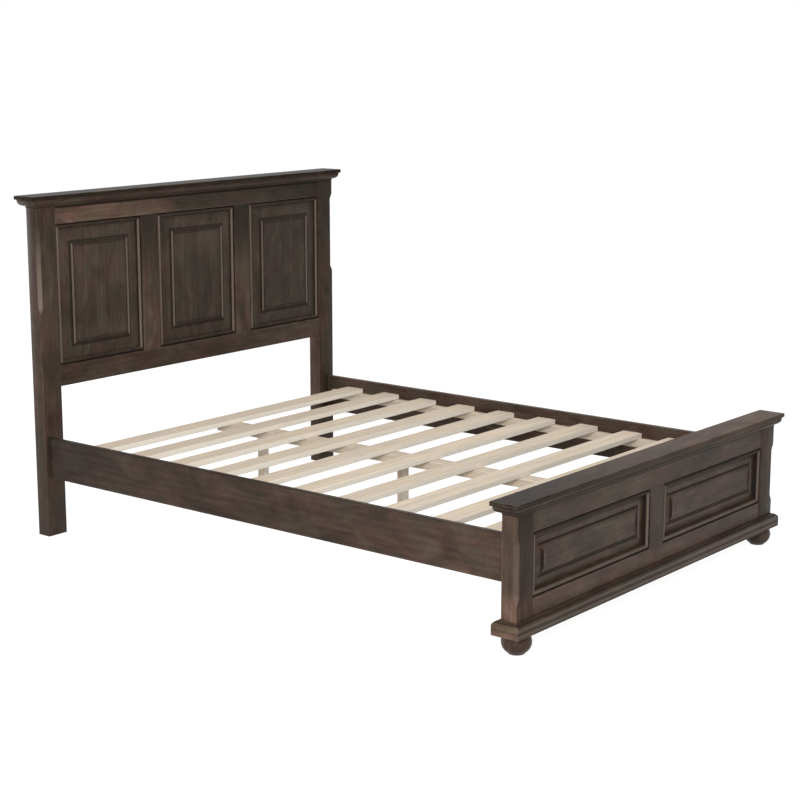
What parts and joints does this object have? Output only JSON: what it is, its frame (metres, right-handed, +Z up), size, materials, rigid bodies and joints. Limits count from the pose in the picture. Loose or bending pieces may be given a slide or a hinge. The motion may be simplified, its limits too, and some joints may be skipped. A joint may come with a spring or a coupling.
{
  "type": "platform bed",
  "caption": "Wooden platform bed: tall panelled headboard, low panelled footboard on bun feet, side rails, and pale slats across a centre beam on legs.",
  "frame": {"origin": "on the floor, under the middle of the bed's outer box", "axes": "+X to the bed's right seen from the foot, +Y from the foot to the head, +Z up"},
  "size_m": [1.696, 2.2336, 1.271],
  "materials": {
    "stained_wood": "satin",
    "pale_softwood": "matte",
    "plated_steel": "satin",
    "glide_plastic": "matte"
  },
  "bodies": {
    "root": {"bun_feet": "stained_wood", "bun_glides": "glide_plastic", "bun_studs": "plated_steel", "centre_beam": "pale_softwood", "centre_leg_1": "pale_softwood", "centre_leg_2": "pale_softwood", "centre_leg_3": "pale_softwood", "foot_base_back": "stained_wood", "foot_base_front": "stained_wood", "foot_base_left": "stained_wood", "foot_base_right": "stained_wood", "foot_bead_left": "stained_wood", "foot_bead_right": "stained_wood", "foot_bottom_rail": "stained_wood", "foot_cap": "stained_wood", "foot_crown": "stained_wood", "foot_panel_left": "stained_wood", "foot_panel_right": "stained_wood", "foot_post_left": "stained_wood", "foot_post_right": "stained_wood", "foot_stile": "stained_wood", "foot_top_rail": "stained_wood", "head_bead_left": "stained_wood", "head_bead_middle": "stained_wood", "head_bead_right": "stained_wood", "head_bottom_rail": "stained_wood", "head_cap": "stained_wood", "head_crown": "stained_wood", "head_panel_left": "stained_wood", "head_panel_middle": "stained_wood", "head_panel_right": "stained_wood", "head_post_left": "stained_wood", "head_post_right": "stained_wood", "head_stile_left": "stained_wood", "head_stile_right": "stained_wood", "head_top_rail": "stained_wood", "ledger_left": "pale_softwood", "ledger_right": "pale_softwood", "leg_glides": "glide_plastic", "post_catches": "plated_steel", "rail_hooks": "plated_steel", "side_rail_left": "stained_wood", "side_rail_right": "stained_wood", "slat_01": "pale_softwood", "slat_02": "pale_softwood", "slat_03": "pale_softwood", "slat_04": "pale_softwood", "slat_05": "pale_softwood", "slat_06": "pale_softwood", "slat_07": "pale_softwood", "slat_08": "pale_softwood", "slat_09": "pale_softwood", "slat_10": "pale_softwood"}
  },
  "joints": []
}
